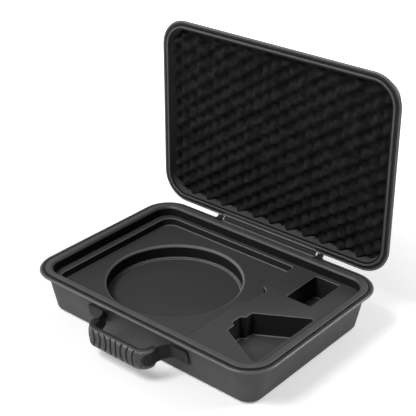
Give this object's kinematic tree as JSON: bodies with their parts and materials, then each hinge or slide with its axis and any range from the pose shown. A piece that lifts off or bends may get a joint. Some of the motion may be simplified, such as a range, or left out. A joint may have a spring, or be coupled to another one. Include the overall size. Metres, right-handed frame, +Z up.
{
  "type": "carrying case",
  "caption": "Rectangular zip carrying case standing open, with a padded lid, a fitted tray with a round recess and pockets, and a front carry handle.",
  "frame": {"origin": "middle of the base's flat underside, on the surface it stands on", "axes": "+X along the hinge, -Y out through the carry handle, +Z up"},
  "size_m": [0.43, 0.3736, 0.3814],
  "materials": {
    "shell": "dark grey moulded shell with a fine leather-like grain",
    "lip": "smooth satin charcoal moulding",
    "tray": "matt black moulded foam",
    "foam": "open-cell black egg-crate foam",
    "zip_tape": "woven black tape",
    "zip_teeth": "black coil teeth",
    "zip_metal": "black enamelled die-casting",
    "pull": "satin black moulded rubber",
    "hinge": "black woven web",
    "strap": "black webbing",
    "grip": "charcoal rubber with curved grooves"
  },
  "bodies": {
    "base": {"base_shell": "shell", "base_lip": "lip", "base_zip_tape": "zip_tape", "base_zip_teeth": "zip_teeth", "tray_floor_pad": "tray", "tray_lower_layer": "tray", "tray_upper_layer": "tray", "handle_pad_left": "strap", "handle_pad_right": "strap", "base_hinge_leaf": "hinge", "base_zip_stop_left": "zip_metal", "base_zip_stop_right": "zip_metal"},
    "handle": {"handle_grip": "grip", "handle_strap_left": "strap", "handle_strap_right": "strap"},
    "lid": {"lid_shell": "shell", "lid_lip": "lip", "lid_zip_tape": "zip_tape", "lid_zip_teeth": "zip_teeth", "lid_foam": "foam", "lid_hinge_leaf": "hinge", "lid_zip_stop_left": "zip_metal", "lid_zip_stop_right": "zip_metal"},
    "slider_left": {"zip_slider_left": "zip_metal"},
    "slider_right": {"zip_slider_right": "zip_metal"},
    "pull_left": {"zip_pull_left": "pull"},
    "pull_right": {"zip_pull_right": "pull"}
  },
  "joints": [
    {"name": "lid_hinge", "type": "hinge", "parent": "base", "child": "lid", "pos_m": [0, 0.15485, 0.07305], "axis": [1, 0, 0], "range_deg": [0, 90]},
    {"name": "handle_swing", "type": "hinge", "parent": "base", "child": "handle", "pos_m": [-0.004, -0.13868, 0.037], "axis": [1, 0, 0], "range_deg": [-20, 20], "deforming": ["handle_strap_left", "handle_strap_right"]},
    {"name": "zip_slider_left", "type": "slide", "parent": "base", "child": "slider_left", "axis": [-1, 0, 0], "range_m": [0, 0.065]},
    {"name": "zip_slider_right", "type": "slide", "parent": "base", "child": "slider_right", "axis": [1, 0, 0], "range_m": [0, 0.065]},
    {"name": "zip_pull_left", "type": "hinge", "parent": "slider_left", "child": "pull_left", "pos_m": [-0.0975, 0.1584, 0.069], "axis": [1, 0, 0], "range_deg": [-20, 110]},
    {"name": "zip_pull_right", "type": "hinge", "parent": "slider_right", "child": "pull_right", "pos_m": [0.0975, 0.1584, 0.069], "axis": [1, 0, 0], "range_deg": [-20, 110]}
  ]
}
